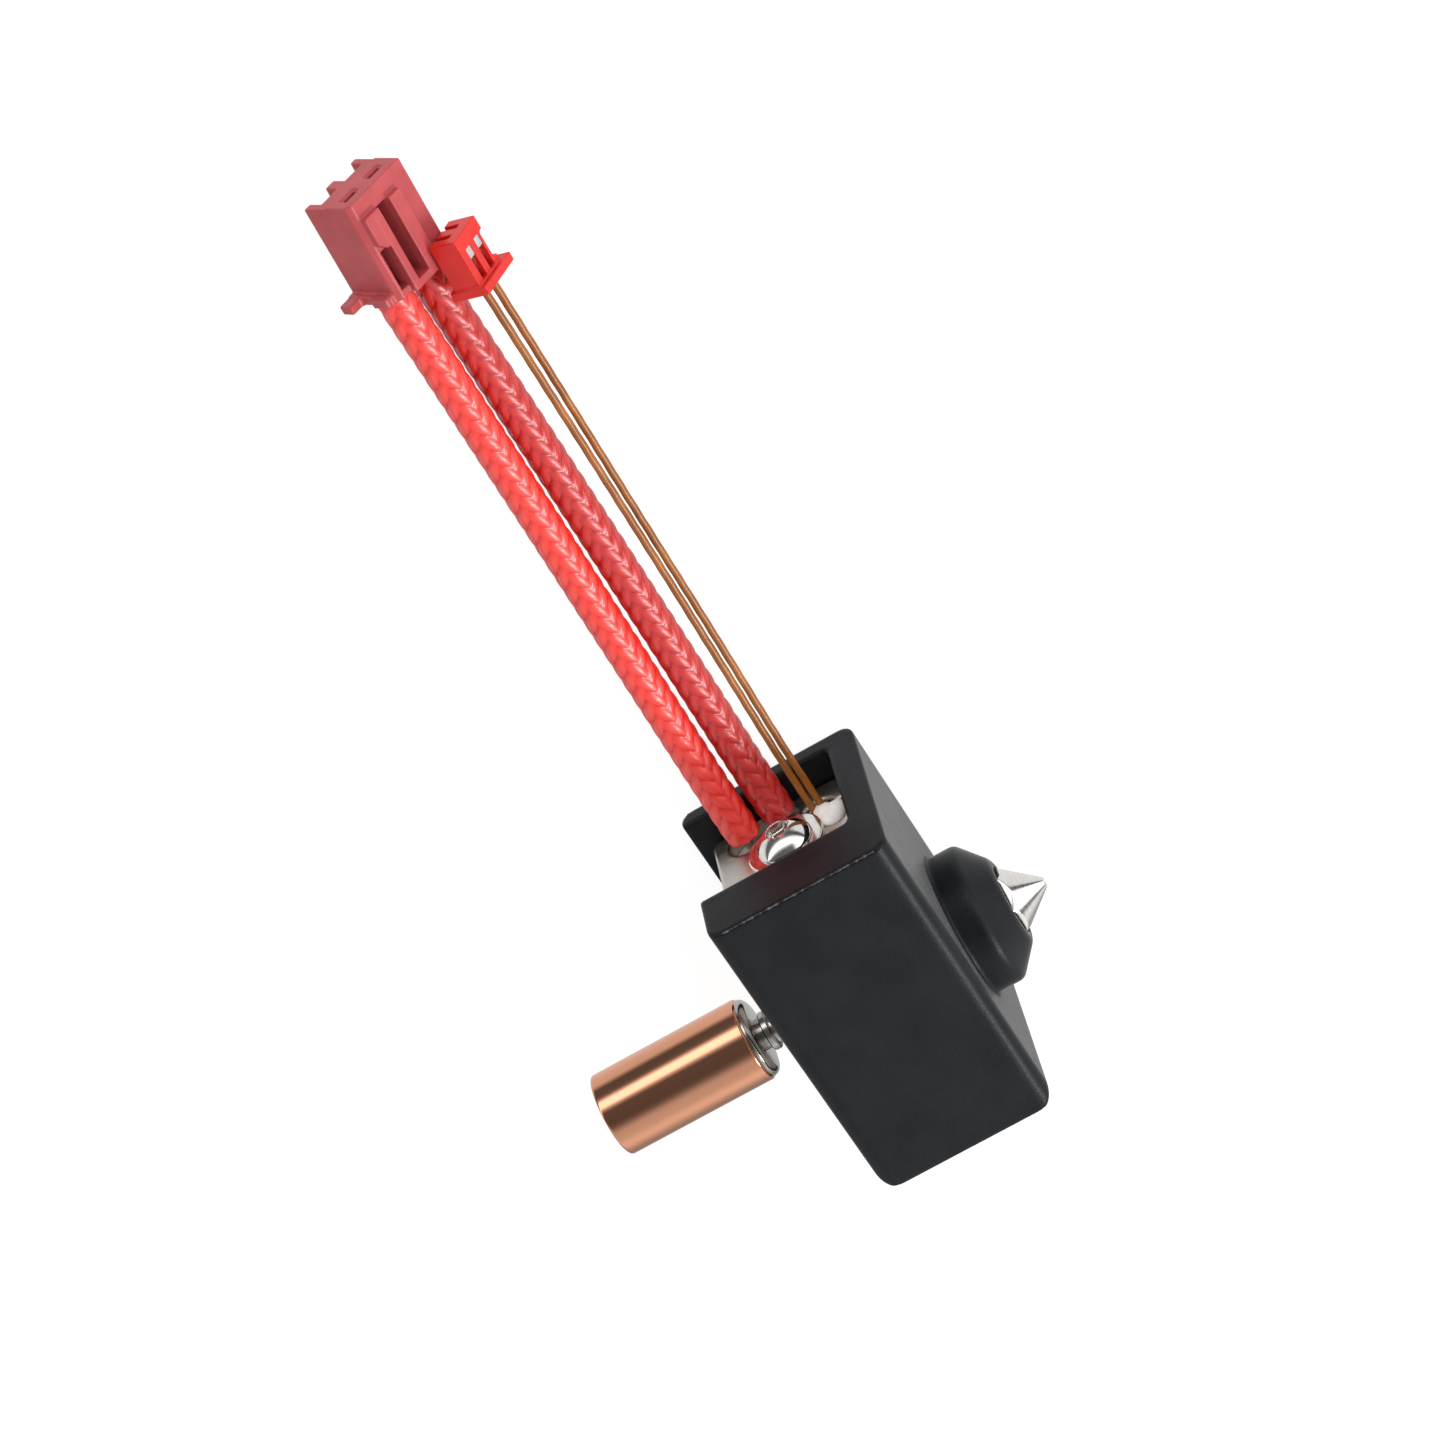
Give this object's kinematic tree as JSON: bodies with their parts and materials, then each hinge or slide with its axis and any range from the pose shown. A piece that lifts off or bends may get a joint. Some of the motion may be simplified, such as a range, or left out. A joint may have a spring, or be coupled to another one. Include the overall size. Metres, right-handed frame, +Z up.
{
  "type": "hotend assembly",
  "caption": "Heater block in a silicone sock, with a copper-sleeved heat break, a conical nozzle, and a heater and a thermistor on short leads that end in plugs.",
  "frame": {"origin": "on the back face that the part lies on, straight under the filament axis and midway across the sock", "axes": "+X along the block away from the leads, +Y along the filament path towards the nozzle, +Z up"},
  "size_m": [0.1026, 0.0446, 0.0204],
  "materials": {
    "silicone": "matte moulded silicone",
    "block_nickel": "satin nickel plate",
    "copper": "polished bare copper",
    "steel": "turned stainless steel",
    "nozzle_nickel": "bright nickel plate",
    "screw_nickel": "bright nickel plate",
    "ceramic": "matte white ceramic",
    "tinned_wire": "tinned",
    "braid_red": "glossy braided glass-fibre sleeve",
    "plug_red": "satin moulded nylon",
    "bead_glass": "glossy glass bead",
    "enamel_brown": "glossy polyimide film",
    "mini_plug_red": "satin moulded nylon"
  },
  "bodies": {
    "hot_side": {"heater_block": "block_nickel", "heatbreak_sleeve": "copper", "heatbreak_tube": "steel", "retaining_washer": "screw_nickel", "heater_element": "ceramic", "heater_seal": "ceramic", "heater_tail_left": "tinned_wire", "heater_tail_right": "tinned_wire", "heater_lead_left": "braid_red", "heater_lead_right": "braid_red", "heater_plug_housing": "plug_red", "heater_terminal_left": "tinned_wire", "heater_terminal_right": "tinned_wire", "thermistor_capsule": "steel", "thermistor_bead": "bead_glass", "thermistor_potting": "ceramic", "thermistor_wire_left": "enamel_brown", "thermistor_wire_right": "enamel_brown", "thermistor_plug_housing": "mini_plug_red", "thermistor_terminal_left": "tinned_wire", "thermistor_terminal_right": "tinned_wire"},
    "sock": {"silicone_sock": "silicone"},
    "nozzle": {"nozzle_body": "nozzle_nickel"},
    "screw": {"retaining_screw": "screw_nickel"}
  },
  "joints": [
    {"name": "sock_pull_off", "type": "slide", "parent": "hot_side", "child": "sock", "axis": [0, 1, 0], "range_m": [0, 0.026]},
    {"name": "nozzle_turn", "type": "hinge", "parent": "hot_side", "child": "nozzle", "pos_m": [0, 0, 0.0102], "axis": [0, 1, 0], "range_deg": [-1980, 0]},
    {"name": "retaining_screw_turn", "type": "hinge", "parent": "hot_side", "child": "screw", "pos_m": [-0.0155, -0.0006, 0.0084], "axis": [-1, 0, 0], "range_deg": [0, 5130]}
  ]
}
